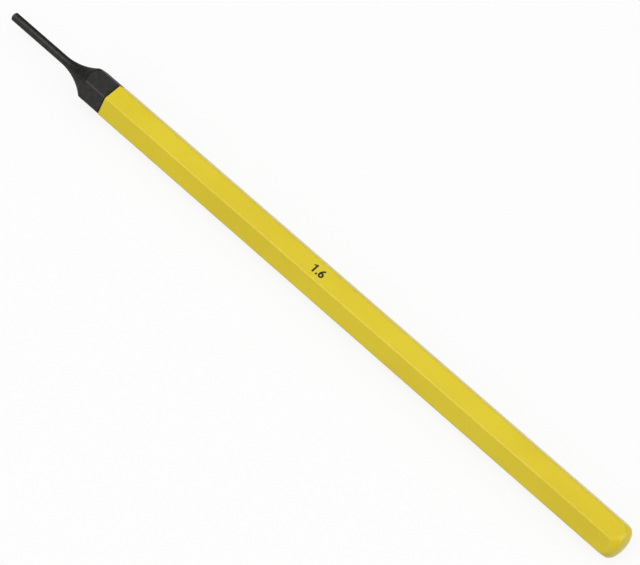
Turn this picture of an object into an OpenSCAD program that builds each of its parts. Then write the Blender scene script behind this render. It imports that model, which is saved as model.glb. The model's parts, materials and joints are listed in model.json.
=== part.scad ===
// Pin punch: one bar of hexagonal tool steel with a straight pin, and an enamel coat on its shank.
// The punch lies on one flat of the hexagon. X runs along it, from the pin's end to the struck end,
// and the origin is on the surface that it lies on, below the middle of its length.

/* [Bar] */
// Length of the bare bar, from the pin's end to the struck end
bar_l = 140; // [100:1:200]
// Distance across the flats of the hexagonal stock
stock_af = 6; // [5:0.1:8]
// Radius of the six long corners of the stock
corner_r = 0.3; // [0.1:0.05:0.6]

/* [Pin] */
// Diameter of the straight pin
pin_d = 1.6; // [1:0.1:3]
// Length of the straight pin, up to where the neck begins
pin_l = 12.4; // [8:0.1:25]
// Chamfer round the pin's end
pin_chamfer = 0.2; // [0.05:0.05:0.3]

/* [Neck] */
// Radius of the hollow curve from the pin out into the flats of the hexagon
neck_r = 11; // [6:0.1:16]
// Length of bare hexagon between the neck and the edge of the enamel
stub_l = 4.9; // [1:0.1:20]

/* [Struck end] */
// Diameter of the flat land in the middle of the struck face
land_d = 2; // [1:0.1:3]
// Radius of the dome of the struck face, outside the land
dome_r = 5.5; // [4:0.1:10]
// Width of the rounded rim, from the dome out to the corners of the stock
rim_w = 0.95; // [0.6:0.05:1.4]
// Height of the rounded rim, along the bar
rim_h = 1.55; // [0.8:0.05:1.8]

/* [Coat] */
// Thickness of the enamel
coat_t = 0.08; // [0.04:0.01:0.2]

/* [Hidden] */
$fn = 96;

// One overrun for all cuts
overrun = 1;
// Angle from one flat of the hexagon to the next
flat_angle = 60;
flats = 360 / flat_angle;

// The round of each corner meets the flats beside it at this angle, as on drawn bar
corner_break = 12;
// Distance from the centre of a corner's round to the flats beside it
corner_inset = corner_r * cos(corner_break);
// Distance from the axis to the centre of a corner's round, and to the outside of the corner
corner_centre = (stock_af / 2 - corner_inset) / cos(flat_angle / 2);
corner_reach = corner_centre + corner_r;
// Radius of the blank that the ends are turned from, clear of the stock and its coat
blank_r = corner_reach + coat_t + overrun;

pin_r = pin_d / 2;
// Length of the neck, from the pin to the corners of the stock
neck_l = sqrt(neck_r ^ 2 - (neck_r + pin_r - corner_reach) ^ 2);
// Distance from the pin's end to the edge of the enamel
coat_start = pin_l + neck_l + stub_l;

land_r = land_d / 2;
// Radius of the domed face inside its rim
face_r = corner_reach - rim_w;
// The dome is part of a sphere that runs through the edge of the land. Depths are taken from the struck end.
dome_depth = sqrt(dome_r ^ 2 - land_r ^ 2);
face_depth = dome_depth - sqrt(dome_r ^ 2 - face_r ^ 2);
// The rim is part of a sphere that runs through the edge of the dome and through the corners of the stock
rim_depth = face_depth + (corner_reach ^ 2 - face_r ^ 2 + rim_h ^ 2) / (2 * rim_h);
rim_r = sqrt(face_r ^ 2 + (rim_depth - face_depth) ^ 2);

// Overall length, and the height of the axis above the surface that the punch lies on
overall_l = bar_l + coat_t;
axis_z = stock_af / 2 + coat_t;

module black_steel() { color([0.16, 0.16, 0.15]) children(); }
module yellow_enamel() { color([0.87, 0.79, 0.21]) children(); }

// Lays what is built upright, with the pin's end at the origin, along X at its height above the surface
module laid_down() {
    translate([-overall_l / 2, 0, axis_z]) rotate([90, 0, 90]) children();
}

// A regular hexagon with the given distance from its middle to each flat
module hexagon(flat_distance) {
    circle(r = flat_distance / cos(flat_angle / 2), $fn = flats);
}

// Section of the hexagonal stock, with two level flats, grown all round by grow. Inside the sharp hexagon,
// a second one takes off the corners as far as the rounds reach down the flats, and the rounds fill them.
module stock_section(grow) {
    intersection() {
        hexagon(stock_af / 2 + grow);
        union() {
            rotate(flat_angle / 2) hexagon(corner_centre + (corner_inset + grow) * cos(flat_angle / 2));
            for (i = [0 : flats - 1])
                rotate(i * flat_angle) translate([corner_centre, 0]) circle(r = corner_r + grow);
        }
    }
}

// Half outline of a plain blank, with the axis upright, whose far end is part of a sphere
module domed_outline(depth, sphere_r) {
    square([blank_r, bar_l - depth]);
    translate([0, bar_l - depth]) circle(r = sphere_r);
}

// Half outline of the turned ends: the pin and its neck are cut away from a blank, and the blank's far end
// has a flat land, a dome and a rounded rim. The far end is grown by grow.
module turned_outline(grow) {
    difference() {
        intersection() {
            square([blank_r, bar_l + grow]);
            domed_outline(dome_depth, dome_r + grow);
            domed_outline(rim_depth, rim_r + grow);
        }
        translate([pin_r, -overrun]) square([blank_r, pin_l + overrun]);
        translate([pin_r + neck_r, pin_l]) circle(r = neck_r);
        translate([pin_r, 0]) rotate(45) square(pin_chamfer * sqrt(2), center = true);
    }
}

// The stock with both ends turned, upright and grown by grow, from one distance along it to another
module turned_stock(grow, from, to) {
    intersection() {
        translate([0, 0, from]) linear_extrude(to - from) stock_section(grow);
        rotate_extrude() turned_outline(grow);
    }
}

// The bare end of the steel bar: the pin, the hollow neck and a stub of hexagon, up to the enamel.
// It and the shank are one piece of steel, and the two solids meet at the edge of the enamel.
module pin_end() {
    black_steel() laid_down() turned_stock(0, 0, coat_start);
}

// The rest of the steel bar, inside the enamel, with its domed struck end
module hex_shank() {
    black_steel() laid_down() turned_stock(0, coat_start, overall_l);
}

// The enamel: a sleeve of even thickness over the shank, closed over the struck end
module shank_coat() {
    yellow_enamel() laid_down() difference() {
        turned_stock(coat_t, coat_start, overall_l + overrun);
        turned_stock(0, 0, overall_l);
    }
}

pin_end();
hex_shank();
shank_coat();
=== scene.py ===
# %% [markdown]
# A pin punch in a light studio.
# The solids of the punch come ready made and at their real size: the bare end with its pin, the
# hexagonal shank, and the enamel over the shank. This lesson dresses them. It sets up a camera and a
# studio, models the two pieces that show with the soft edges of the real tool, prints a size on it, and
# makes one finish for each material that a hand would meet.

import json
import math

import bmesh
import bpy
from mathutils import Matrix, Vector


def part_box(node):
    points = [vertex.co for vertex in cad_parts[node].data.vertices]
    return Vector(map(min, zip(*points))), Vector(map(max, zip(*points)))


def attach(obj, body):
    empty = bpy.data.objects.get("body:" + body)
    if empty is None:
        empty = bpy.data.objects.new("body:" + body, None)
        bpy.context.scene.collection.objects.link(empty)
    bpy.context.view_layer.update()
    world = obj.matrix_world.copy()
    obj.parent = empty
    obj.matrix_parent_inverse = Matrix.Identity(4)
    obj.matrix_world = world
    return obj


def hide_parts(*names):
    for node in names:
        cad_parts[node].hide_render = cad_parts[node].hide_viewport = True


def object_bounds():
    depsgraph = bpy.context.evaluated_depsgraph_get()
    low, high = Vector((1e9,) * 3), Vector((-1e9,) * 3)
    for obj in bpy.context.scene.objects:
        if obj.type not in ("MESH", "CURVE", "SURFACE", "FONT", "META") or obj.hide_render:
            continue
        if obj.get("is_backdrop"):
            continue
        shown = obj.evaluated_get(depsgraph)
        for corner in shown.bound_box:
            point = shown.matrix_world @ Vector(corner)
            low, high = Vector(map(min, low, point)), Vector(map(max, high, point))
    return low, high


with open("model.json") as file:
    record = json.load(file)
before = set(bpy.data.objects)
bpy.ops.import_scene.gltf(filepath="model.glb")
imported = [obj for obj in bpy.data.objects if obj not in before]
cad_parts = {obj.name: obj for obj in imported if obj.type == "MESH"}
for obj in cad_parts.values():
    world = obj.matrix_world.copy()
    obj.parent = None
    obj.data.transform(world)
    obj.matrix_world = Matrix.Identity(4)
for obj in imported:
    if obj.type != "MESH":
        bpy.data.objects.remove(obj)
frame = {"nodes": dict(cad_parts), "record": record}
cad_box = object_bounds()
nodes = frame["nodes"]
scene = bpy.context.scene
scene.view_settings.view_transform = "Standard"
MM = 0.001


def mm(length):
    """A length in millimetres, for printing."""
    return round(length / MM, 3)


print("solids:", sorted(nodes))
print("box in mm:", [[mm(v) for v in corner] for corner in cad_box])

# %% [markdown]
# The camera comes first, because every later choice is judged through it. A photographer shoots a slim
# tool with a long lens from well above, so that its sides stay almost parallel. The camera could be keyed
# in as raw numbers, but an aim point, two angles, a distance and a roll are easier to read and to change,
# so it is placed by those.

# %% Camera
camera_aim = Vector((3.455, 0.012, 3.08)) * MM
camera_distance = 440.08 * MM
camera_azimuth = math.radians(36.66)
camera_elevation = math.radians(60.515)
camera_roll = math.radians(8.145)
camera_lens = 150
camera_nearest = 10 * MM

towards_camera = Vector((
    math.sin(camera_azimuth) * math.cos(camera_elevation),
    -math.cos(camera_azimuth) * math.cos(camera_elevation),
    math.sin(camera_elevation),
))
camera = bpy.data.objects.new("camera", bpy.data.cameras.new("camera"))
scene.collection.objects.link(camera)
scene.camera = camera
camera.data.lens = camera_lens
camera.data.clip_start = camera_nearest
camera.location = camera_aim + towards_camera * camera_distance
level = towards_camera.to_track_quat("Z", "Y").to_matrix()
camera.rotation_euler = (level @ Matrix.Rotation(camera_roll, 3, "Z")).to_euler()
print("camera at", [mm(v) for v in camera.location], "mm")

# %% [markdown]
# Shader maths reads best as ordinary Python. This small class wraps the output of a node, and each sum or
# product on it adds a Math node to the same tree. Every other kind of node comes from its one method.

# %% Shader helper


class Wire:
    """The output of a shader node. Arithmetic on wires and numbers adds Math nodes."""

    def __init__(self, socket):
        self.socket = socket

    @staticmethod
    def node(tree, kind, settings=None, inputs=None, output=0):
        """Adds a node to a tree: first its settings, then a value or a wire for each of its inputs."""
        made = tree.nodes.new(kind)
        for name, value in (settings or {}).items():
            setattr(made, name, value)
        for name, value in (inputs or {}).items():
            if isinstance(value, Wire):
                tree.links.new(value.socket, made.inputs[name])
            else:
                made.inputs[name].default_value = value
        return Wire(made.outputs[output])

    def math(self, operation, first, second):
        """Adds a Math node to this wire's tree."""
        tree = self.socket.id_data
        return Wire.node(tree, "ShaderNodeMath", {"operation": operation}, {0: first, 1: second})

    def __add__(self, other):
        return self.math("ADD", self, other)

    def __radd__(self, other):
        return self.math("ADD", other, self)

    def __sub__(self, other):
        return self.math("SUBTRACT", self, other)

    def __rsub__(self, other):
        return self.math("SUBTRACT", other, self)

    def __mul__(self, other):
        return self.math("MULTIPLY", self, other)

    def __rmul__(self, other):
        return self.math("MULTIPLY", other, self)


print("shader helper ready")

# %% [markdown]
# The studio has four soft boxes. A small key box hangs over the pin and draws the bright line along it. A
# wide one fills in from overhead. A low one stands in front of the punch, and another beyond its struck
# end, for the sloping flats and the dome. One large lamp overhead would be simpler, but the pin would lose
# its bright line. The room adds a little light from all round, so that no side goes dull.

# %% Soft boxes
room_light = 0.15
soft_boxes = {
    "key_box": {"size": 0.8, "place": Vector((-0.35, -0.3, 1.05)), "power": 5.2},
    "fill_box": {"size": 2.6, "place": Vector((0.3, 0.2, 1.25)), "power": 13.6},
    "front_box": {"size": 1.0, "place": Vector((0.0, -1.0, 0.5)), "power": 4.0},
    "side_box": {"size": 0.7, "place": Vector((1.0, 0.45, 0.36)), "power": 4.0},
}

world = bpy.data.worlds.new("studio")
scene.world = world
world.use_nodes = True
world.node_tree.nodes["Background"].inputs["Color"].default_value = (1, 1, 1, 1)
world.node_tree.nodes["Background"].inputs["Strength"].default_value = room_light

for name, box in soft_boxes.items():
    lamp = bpy.data.objects.new(name, bpy.data.lights.new(name, "AREA"))
    scene.collection.objects.link(lamp)
    lamp.data.size = box["size"]
    lamp.data.energy = box["power"]
    lamp.location = box["place"]
    lamp.rotation_euler = box["place"].to_track_quat("Z", "Y").to_euler()
    print(name, "of", box["power"], "W")

# %% [markdown]
# The floor takes the shadow of the punch. A floor of plain white would throw too much light up at the
# tool, so the paper here is grey to the light that it scatters. To the camera, and in reflections, it
# also glows, and so it reads as clean white paper without any more light on the tool.

# %% Floor
floor_size = 4.0
floor_paper = (0.35, 0.35, 0.35, 1)
floor_shade = (0.12, 0.12, 0.12, 1)
floor_glow = 0.864

bpy.ops.mesh.primitive_plane_add(size=floor_size)
floor = bpy.context.object
floor.name = "floor"
floor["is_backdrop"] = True
paper = bpy.data.materials.new("paper")
paper.use_nodes = True
tree = paper.node_tree
tree.nodes.clear()
rays = [
    Wire.node(tree, "ShaderNodeLightPath", output=name)
    for name in ("Is Camera Ray", "Is Glossy Ray", "Is Transmission Ray")
]
seen = Wire.node(
    tree, "ShaderNodeMath", {"operation": "ADD", "use_clamp": True}, {0: rays[0] + rays[1], 1: rays[2]}
)
lit = Wire.node(tree, "ShaderNodeBsdfDiffuse", inputs={"Color": floor_paper})
shade = Wire.node(tree, "ShaderNodeBsdfDiffuse", inputs={"Color": floor_shade})
glow = Wire.node(tree, "ShaderNodeEmission", inputs={"Strength": floor_glow})
shown = Wire.node(tree, "ShaderNodeAddShader", inputs={0: shade, 1: glow})
surface = Wire.node(tree, "ShaderNodeMixShader", inputs={0: seen, 1: lit, 2: shown})
tree.links.new(surface.socket, tree.nodes.new("ShaderNodeOutputMaterial").inputs["Surface"])
floor.data.materials.append(paper)
print("floor of", floor_size, "m")

# %% [markdown]
# Next come the sizes of the bar. Most of them are read off the solids' boxes and the record's pin, so they
# follow the frame. Four forms don't show in any box, and their sizes are given here: the hollow of the
# neck, and the land, dome and rim of the struck end.

# %% Sizes of the bar
end_low, end_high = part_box("pin_end")
coat_low, coat_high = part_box("shank_coat")
pin_mount = next(m for m in frame["record"]["mounts"] if m["name"] == "pin")
pin_l = pin_mount["dims"]["length_mm"] * MM
pin_r = pin_mount["dims"]["r_mm"] * MM
pin_foot = pin_mount["pos_m"][0] + pin_l / 2
pin_tip = end_low.x
pin_chamfer = pin_foot - pin_l - pin_tip

axis = (coat_low.z + coat_high.z) / 2
steel_flat = (end_high.z - end_low.z) / 2
steel_reach = end_high.y
film = coat_high.z - end_high.z
paint_line = coat_low.x
bar_end = coat_high.x - film

neck_r = 11 * MM
land_r = 1 * MM
dome_r = 5.5 * MM
rim_w = 0.95 * MM
rim_h = 1.55 * MM

face_r = steel_reach - rim_w
dome_centre = bar_end - math.sqrt(dome_r ** 2 - land_r ** 2)
face_x = dome_centre + math.sqrt(dome_r ** 2 - face_r ** 2)
rim_centre = face_x - (steel_reach ** 2 - face_r ** 2 + rim_h ** 2) / (2 * rim_h)
rim_r = math.hypot(face_r, face_x - rim_centre)
print("across flats", mm(2 * steel_flat), "mm, across corners", mm(2 * steel_reach), "mm")
print("film of enamel", mm(film), "mm, pin", mm(2 * pin_r), "mm across")

# %% [markdown]
# Both pieces that show have one kind of shape: a hexagonal bar whose end was turned on a lathe. The section
# of the bar is needed first. A hexagon with a Bevel modifier would give it, but a formula for the distance
# from the axis at any angle can be set against the lathe's radius. Where the two cross, a softened minimum
# rounds the edge, as tumbling and paint round it on the real tool.

# %% Section of the bar
flats = 6
sixth = math.radians(360 / flats)


def soft_min(first, second, width):
    """The lesser of two distances, rounded off where they differ by less than width."""
    near = max(width - abs(first - second), 0) / width
    return min(first, second) - near * near * width / 4


def corner_round(flat, reach):
    """Radius and half angle of a hexagon's corners, from its distances to the flats and to the corners."""
    slant = 1 / math.cos(sixth / 2)
    radius = (flat * slant - reach) / (slant - 1)
    half_angle = math.atan2(radius * math.sin(sixth / 2), reach - radius + radius * math.cos(sixth / 2))
    return radius, half_angle


def hexagon(angle, flat, reach):
    """Distance from the axis to a hexagon with round corners, at an angle from one of its corners."""
    radius, half_angle = corner_round(flat, reach)
    turn = abs((angle + sixth / 2) % sixth - sixth / 2)
    if turn > half_angle:
        return flat / math.cos(sixth / 2 - turn)
    centre = reach - radius
    return centre * math.cos(turn) + math.sqrt(radius ** 2 - (centre * math.sin(turn)) ** 2)


print("corners of the bar have a radius of", mm(corner_round(steel_flat, steel_reach)[0]), "mm")

# %% [markdown]
# A Boolean of a prism and a turned shape would make each piece, but with knife edges and long thin faces.
# So each piece is lofted instead. One ring is drawn, extruded from station to station along the bar, and
# pulled in to the nearer of two surfaces, the hexagon's or the lathe's. Each point also keeps how far it
# is on the lathe's side, for the finish to use later.

# %% Loft helper
corner_steps = 6
flat_steps = 16


def ring_angles(half_angle):
    """Angles of the points of a ring: close together over each round corner, and even along each flat."""
    steps = [half_angle * (2 * i / corner_steps - 1) for i in range(corner_steps)]
    steps += [half_angle + (sixth - 2 * half_angle) * i / flat_steps for i in range(flat_steps)]
    return [corner * sixth + step for corner in range(flats) for step in steps]


def loft(stations, thickness, softness):
    """A closed mesh from stations: each is a place, a turned radius and the film's thickness there."""
    bm = bmesh.new()
    turned_side = bm.verts.layers.float.new("turned")
    angles = ring_angles(corner_round(steel_flat + thickness, steel_reach + thickness)[1])
    ring = bmesh.ops.create_circle(bm, segments=len(angles), radius=1)["verts"]
    for vert, angle in zip(ring, angles):
        vert.co = (0, math.cos(angle), axis + math.sin(angle))
    first = list(bm.edges)
    edges = first
    for number, (x, turned, layer) in enumerate(stations):
        if number:
            grown = bmesh.ops.extrude_edge_only(bm, edges=edges)["geom"]
            ring = [part for part in grown if isinstance(part, bmesh.types.BMVert)]
            edges = [part for part in grown if isinstance(part, bmesh.types.BMEdge) and part.is_boundary]
        for vert in ring:
            angle = math.atan2(vert.co.z - axis, vert.co.y)
            flat_side = hexagon(angle, steel_flat + layer, steel_reach + layer)
            reach = soft_min(flat_side, turned, softness)
            vert.co = (x, reach * math.cos(angle), axis + reach * math.sin(angle))
            vert[turned_side] = min(max(0.5 + (flat_side - turned) / (2 * softness), 0), 1)
    bmesh.ops.edgeloop_fill(bm, edges=first)
    bmesh.ops.edgeloop_fill(bm, edges=edges)
    bmesh.ops.recalc_face_normals(bm, faces=bm.faces)
    return bm


print("a ring has", flats * (corner_steps + flat_steps), "points")

# %% [markdown]
# A lofted mesh becomes a piece when it has an object and smooth shading. Blender could shade it all
# smooth, but then the flat ends would look swollen, so an edge that turns by more than the crease angle
# stays sharp.

# %% Piece helpers
crease = math.radians(35)


def evenly(start, stop, count):
    """Places from start up to but not including stop."""
    return [start + (stop - start) * i / count for i in range(count)]


def finish_piece(name, bm):
    """Makes an object of a mesh, smooth but for its sharp edges."""
    for face in bm.faces:
        face.smooth = True
    for edge in bm.edges:
        edge.smooth = edge.calc_face_angle(0) < crease
    mesh = bpy.data.meshes.new(name)
    bm.to_mesh(mesh)
    bm.free()
    piece = bpy.data.objects.new(name, mesh)
    scene.collection.objects.link(piece)
    print(name, "has", len(mesh.polygons), "faces")
    return piece


print("edges stay sharp above", round(math.degrees(crease)), "degrees")

# %% [markdown]
# The bare end of the bar is turned from the hexagon: a straight pin, a hollow neck that runs out into the
# six flats in scallops, and a stub of hexagon up to the paint. The stations lie close together where the
# scallops are, and the rim of the pin's end is bevelled, because a lathe hand always breaks that edge.

# %% Bare end
scallop_soft = 0.2 * MM
tip_round = 0.07 * MM
tip_segments = 3
pin_rings = 12
hollow_rings = 36
scallop_rings = 40
stub_rings = 6


def neck_reach(x):
    """Radius of the turned neck at a place along it."""
    return pin_r + neck_r - math.sqrt(neck_r ** 2 - max(x - pin_foot, 0) ** 2)


def neck_place(radius):
    """Place along the neck where it has a radius."""
    return pin_foot + math.sqrt(neck_r ** 2 - (neck_r + pin_r - radius) ** 2)


scallop_start = neck_place(steel_flat - scallop_soft)
scallop_stop = neck_place(steel_reach + scallop_soft)
places = (
    evenly(pin_tip + pin_chamfer, pin_foot, pin_rings)
    + evenly(pin_foot, scallop_start, hollow_rings)
    + evenly(scallop_start, scallop_stop, scallop_rings)
    + evenly(scallop_stop, paint_line, stub_rings)
    + [paint_line]
)
stations = [(pin_tip, pin_r - pin_chamfer, 0)]
stations += [(x, neck_reach(min(x, scallop_stop)), 0) for x in places]
end_mesh = loft(stations, 0, scallop_soft)
tip_edges = [e for e in end_mesh.edges if all(v.co.x < pin_tip + pin_chamfer / 2 for v in e.verts)]
bmesh.ops.bevel(
    end_mesh, geom=tip_edges, offset=tip_round, segments=tip_segments, profile=0.5, affect="EDGES",
    material=-1,
)
bare_end = finish_piece("bare_end", end_mesh)
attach(bare_end, "root")
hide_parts("pin_end")

# %% [markdown]
# The enamel is a dipped film, a closed sleeve that covers the shank and its struck end. A Solidify modifier
# could thicken a skin, but the lip would stay square. So the loft goes along the inside of the film first,
# round the lip at the paint line, and back along the outside, and the film has its real thickness. At the
# lip the wet paint drew up into a quarter round, and on the struck end it softened every edge of the steel.

# %% Enamel sleeve
enamel_soft = 0.15 * MM
rim_soft = 0.15 * MM
land_soft = 0.08 * MM
lip_steps = 6
shank_rings = 24
inside_rings = 40
outside_rings = 140
quarter = math.radians(90)
unturned = 2 * steel_reach


def struck_end(layer, steps):
    """Stations from the straight shank over the rim and the dome to the middle of the struck face."""
    stations = []
    for i in range(steps):
        lean = quarter * (1 - i / steps)
        turned = (rim_r + layer) * math.sin(lean)
        rim_x = rim_centre + (rim_r + layer) * math.cos(lean)
        dome_x = dome_centre + math.sqrt((dome_r + layer) ** 2 - turned ** 2)
        x = soft_min(soft_min(rim_x, dome_x, rim_soft), bar_end + layer, land_soft)
        stations.append((x, turned, layer))
    return stations


lip = []
for i in range(lip_steps + 1):
    lean = quarter * i / lip_steps
    lip.append((paint_line + film * (1 - math.cos(lean)), unturned, film * math.sin(lean)))
shank = [(x, unturned, film) for x in evenly(paint_line + film, rim_centre, shank_rings)[1:]]
stations = struck_end(0, inside_rings)[::-1] + lip + shank + struck_end(film, outside_rings)
enamel_sleeve = finish_piece("enamel_sleeve", loft(stations, film, enamel_soft))
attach(enamel_sleeve, "root")
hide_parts("shank_coat")

# %% [markdown]
# A punch is picked from a rack by the size of its pin, so the size in millimetres is printed on the upper
# flat. An image of the figures could be laid on the enamel, but it would blur close up. So the figures are
# a text object with Blender's own font, made a mesh.

# %% Figures
mark_weight = 0.03
half_unit = 0.5
size_text = f"{2 * pin_r / MM:.1f}"

figures = bpy.data.curves.new("size_mark", "FONT")
figures.body = size_text
figures.offset = mark_weight
figures.extrude = half_unit
lettering = bpy.data.objects.new("lettering", figures)
scene.collection.objects.link(lettering)
bpy.context.view_layer.update()
mark_mesh = bpy.data.meshes.new_from_object(lettering.evaluated_get(bpy.context.evaluated_depsgraph_get()))
bpy.data.objects.remove(lettering)
mark_mesh.name = "size_mark"
print("figures", size_text, "have", len(mark_mesh.polygons), "faces")

# %% [markdown]
# The font draws a one as a bare stroke, so a sheared block gives it the flag that it needs. The figures are
# one unit deep so far. They are scaled to their real height, and to the thickness of a skin of ink, and
# laid half sunk in the top of the enamel.

# %% Size mark
mark_height = 1.67 * MM
mark_centre = 2.8 * MM
ink_t = 0.008 * MM
flag_length = 0.17
flag_weight = 0.13
flag_slope = 0.8
weld_distance = 1e-5

bm = bmesh.new()
bm.from_mesh(mark_mesh)
bmesh.ops.remove_doubles(bm, verts=bm.verts, dist=weld_distance)
stroke = min(v.co.x for v in bm.verts)
top = max(v.co.y for v in bm.verts if v.co.x < stroke + flag_weight)
flag_middle = (stroke - flag_length / 2, top - (flag_weight + flag_slope * flag_length) / 2, 0)
flag = Matrix.Translation(flag_middle)
flag @= Matrix.Shear("XZ", 4, (flag_slope, 0)) @ Matrix.Diagonal((flag_length, flag_weight, 1, 1))
bmesh.ops.create_cube(bm, size=1, matrix=flag)
low = Vector(min(v.co[i] for v in bm.verts) for i in range(3))
high = Vector(max(v.co[i] for v in bm.verts) for i in range(3))
scale = mark_height / (high.y - low.y)
bmesh.ops.translate(bm, verts=bm.verts, vec=-(low + high) / 2)
bmesh.ops.scale(bm, verts=bm.verts, vec=(scale, scale, ink_t))
bmesh.ops.translate(bm, verts=bm.verts, vec=(mark_centre, 0, coat_high.z))
bm.to_mesh(mark_mesh)
bm.free()
size_mark = bpy.data.objects.new("size_mark", mark_mesh)
scene.collection.objects.link(size_mark)
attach(size_mark, "root")
print("size mark is", mm((high.x - low.x) * scale), "mm long")

# %% [markdown]
# Every finish starts in the same way: a material, its shader, and coordinates in millimetres with the bar's
# axis at zero, so that each pattern can be given its real scale. The patterns are procedural. Painted
# images would need the pieces unwrapped, and would blur close up.

# %% Finish helpers


def new_finish(name, specular):
    """A material with its tree, its shader and coordinates in millimetres from the axis."""
    made = bpy.data.materials.new(name)
    made.use_nodes = True
    tree = made.node_tree
    shader = tree.nodes["Principled BSDF"]
    shader.inputs["Specular IOR Level"].default_value = specular
    place = Wire.node(tree, "ShaderNodeTexCoord", output="Object")
    inputs = {"Vector": place, "Location": (0, 0, -axis / MM), "Scale": (1 / MM, 1 / MM, 1 / MM)}
    in_mm = Wire.node(tree, "ShaderNodeMapping", inputs=inputs)
    return made, tree, shader, in_mm


def feed(shader, name, wire):
    """Links a wire to an input of a shader."""
    shader.id_data.links.new(wire.socket, shader.inputs[name])


def dress(piece, finish):
    """Gives a piece one finish all over."""
    piece.data.materials.clear()
    piece.data.materials.append(finish)
    print(finish.name, "on", piece.name)


print("finish helpers ready")

# %% [markdown]
# A few helpers serve the patterns of the finishes: soft noise, a mask that fades in between two values, a
# blend of two colours, a height that embosses the surface, and the distance from the bar's axis. Each adds
# one or two nodes, which could be placed by hand in the shader editor, and a name says what they are for.

# %% Pattern helpers


def noise(tree, vector, scale, detail=2.0, stretch=None):
    """Soft noise from about 0.3 to 0.7, with scale features to the millimetre."""
    if stretch:
        vector = Wire.node(tree, "ShaderNodeMapping", inputs={"Vector": vector, "Scale": stretch})
    inputs = {"Vector": vector, "Scale": scale, "Detail": detail}
    return Wire.node(tree, "ShaderNodeTexNoise", inputs=inputs)


def fade(tree, value, start, stop):
    """A mask that rises smoothly from 0 at start to 1 at stop."""
    return Wire.node(
        tree, "ShaderNodeMapRange", {"interpolation_type": "SMOOTHSTEP"},
        {"Value": value, "From Min": start, "From Max": stop},
    )


def blend(tree, factor, first, second):
    """A colour between two colours."""
    inputs = {0: factor, 6: first, 7: second}
    return Wire.node(tree, "ShaderNodeMix", {"data_type": "RGBA"}, inputs, output=2)


def emboss(tree, shader, height, depth):
    """Makes the surface look raised by a height times a depth in millimetres."""
    inputs = {"Height": height, "Distance": depth * MM, "Strength": 1.0}
    feed(shader, "Normal", Wire.node(tree, "ShaderNodeBump", inputs=inputs))


def distance_from_axis(tree, in_mm):
    """How far a point is from the bar's axis, in millimetres."""
    across = Wire.node(tree, "ShaderNodeVectorMath", {"operation": "MULTIPLY"}, {0: in_mm, 1: (0, 1, 1)})
    return Wire.node(tree, "ShaderNodeVectorMath", {"operation": "LENGTH"}, {0: across}, output="Value")


print("pattern helpers ready")

# %% [markdown]
# The steel is chemically blackened. The black is thin and follows what lies under it, so the turned end
# keeps its fine rings and the hexagon its drawn lines, both as bump. It still shines as metal does, but
# darkly: the shader is mostly metallic, and its tint holds back the shine at grazing angles.

# %% Grain of the steel
steel_metallic = 0.8
steel_tint = (0.45, 0.45, 0.45, 1)
cloud_scale = 1.3
fine_scale = 6.0
ring_scale = 7.0
drawn_scale = 1.0
drawn_stretch = (0.25, 9.0, 9.0)
grain_depth = 0.003
fine_share = 0.4
steel_roughness = 0.38
steel_roughness_drift = 0.12

black, tree, shader, in_mm = new_finish("black_steel", specular=0.36)
shader.inputs["Metallic"].default_value = steel_metallic
shader.inputs["Specular Tint"].default_value = steel_tint
along = Wire.node(tree, "ShaderNodeSeparateXYZ", inputs={"Vector": in_mm}, output="X")
turned = Wire.node(tree, "ShaderNodeAttribute", {"attribute_name": "turned"}, output="Fac")
cloud = noise(tree, in_mm, cloud_scale, detail=4.0)
fine_cloud = noise(tree, in_mm, fine_scale)
rings = Wire.node(
    tree, "ShaderNodeTexNoise", {"noise_dimensions": "1D"}, {"W": along, "Scale": ring_scale, "Detail": 2.0}
)
drawn = noise(tree, in_mm, drawn_scale, stretch=drawn_stretch)
emboss(tree, shader, rings * turned + drawn * (1 - turned) + fine_cloud * fine_share, grain_depth)
feed(shader, "Roughness", steel_roughness + cloud * steel_roughness_drift)
print("rings", ring_scale, "to the mm, drawn lines", drawn_scale * drawn_stretch[1], "to the mm")

# %% [markdown]
# The colour of the black drifts a little from place to place. Where fingers and racks rub, at the corners
# and at the pin's end, it is worn to a paler grey. Just before the lip of the enamel the steel is painted
# near black, as painted shade where the lip shades it. A plain black would be simpler, but steel that has
# been handled is never one colour.

# %% Black steel
oxide_thick = (0.037, 0.0368, 0.0350, 1)
oxide_thin = (0.050, 0.0493, 0.0465, 1)
worn_grey = (0.09, 0.088, 0.084, 1)
# Painted shade: the near black of the band along the lip of the enamel.
lip_shade_black = (0.014, 0.012, 0.006, 1)
wear_share = 0.5
rub_width = 0.12
tip_worn = 0.1
tip_unworn = 0.9
lip_shade_start = 0.25
lip_shade_full = 0.1
lip_shade_ragged = 0.3

corner_mm = steel_reach / MM
tip_mm = pin_tip / MM
line_mm = paint_line / MM
rubbed = fade(tree, distance_from_axis(tree, in_mm), corner_mm - rub_width, corner_mm)
tip_wear = fade(tree, along, tip_mm + tip_unworn, tip_mm + tip_worn)
patchy = fade(tree, fine_cloud, start=0.35, stop=0.6)
worn = (rubbed * wear_share + tip_wear * wear_share) * patchy
oxide = blend(tree, fade(tree, cloud, start=0.35, stop=0.65), oxide_thick, oxide_thin)
steel = blend(tree, worn, oxide, worn_grey)
# Painted shade: the steel darkens to near black just before the lip of the enamel, where the lip shades it.
lip_shade = fade(tree, along + fine_cloud * lip_shade_ragged, line_mm - lip_shade_start, line_mm + lip_shade_full)
feed(shader, "Base Color", blend(tree, lip_shade, steel, lip_shade_black))
dress(bare_end, black)
dress(nodes["hex_shank"], black)

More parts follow.
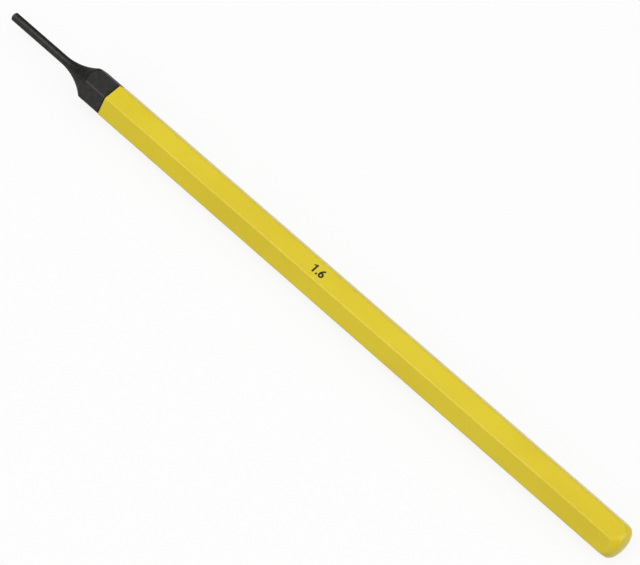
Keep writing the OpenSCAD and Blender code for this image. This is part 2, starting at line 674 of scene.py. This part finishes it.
# %% [markdown]
# The enamel is a thick yellow gloss. Its film is not quite level: it dries with a faint orange peel, drifts
# a shade between thin and thick places, and traps a few specks of dust. A flat yellow with a bump map could
# stand in for it, but the drift in colour and in gloss is what the eye takes for real paint.

# %% Yellow enamel
yellow_thin = (0.715, 0.56, 0.011, 1)
yellow_thick = (0.75, 0.595, 0.015, 1)
drift_scale = 0.16
drift_stretch = (0.5, 1.0, 1.0)
peel_scale = 0.9
peel_depth = 0.006
speck_scale = 0.22
speck_edge = 0.022
speck_core = 0.012
speck_rise = 0.3
enamel_roughness = 0.24
enamel_roughness_drift = 0.12

yellow, tree, shader, in_mm = new_finish("yellow_enamel", specular=0.42)
drift = noise(tree, in_mm, drift_scale, stretch=drift_stretch)
peel = noise(tree, in_mm, peel_scale, detail=1.5)
cells = Wire.node(
    tree, "ShaderNodeTexVoronoi", inputs={"Vector": in_mm, "Scale": speck_scale}, output="Distance"
)
speck = fade(tree, cells, speck_edge, speck_core)
feed(shader, "Base Color", blend(tree, fade(tree, drift, start=0.3, stop=0.7), yellow_thin, yellow_thick))
feed(shader, "Roughness", enamel_roughness + peel * enamel_roughness_drift)
emboss(tree, shader, peel + speck * speck_rise, peel_depth)
dress(enamel_sleeve, yellow)

# %% [markdown]
# The ink is a pad print, black and nearly flat. A single black would do from far off, but the ink is
# thinnest where the pad let go, and there the enamel warms it.

# %% Ink
ink_black = (0.010, 0.008, 0.004, 1)
ink_warm = (0.035, 0.026, 0.005, 1)
ink_scale = 5.0
ink_roughness = 0.45

ink, tree, shader, in_mm = new_finish("black_ink", specular=0.35)
shader.inputs["Roughness"].default_value = ink_roughness
thin = fade(tree, noise(tree, in_mm, ink_scale, detail=3.0), start=0.5, stop=0.7)
feed(shader, "Base Color", blend(tree, thin, ink_black, ink_warm))
dress(size_mark, ink)

# %% [markdown]
# Last, the box of the dressed punch is printed, to set beside that of the solids printed at the start.

# %% Box of the dressed punch
scene_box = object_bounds()
print("dressed box in mm:", [[mm(v) for v in corner] for corner in scene_box])
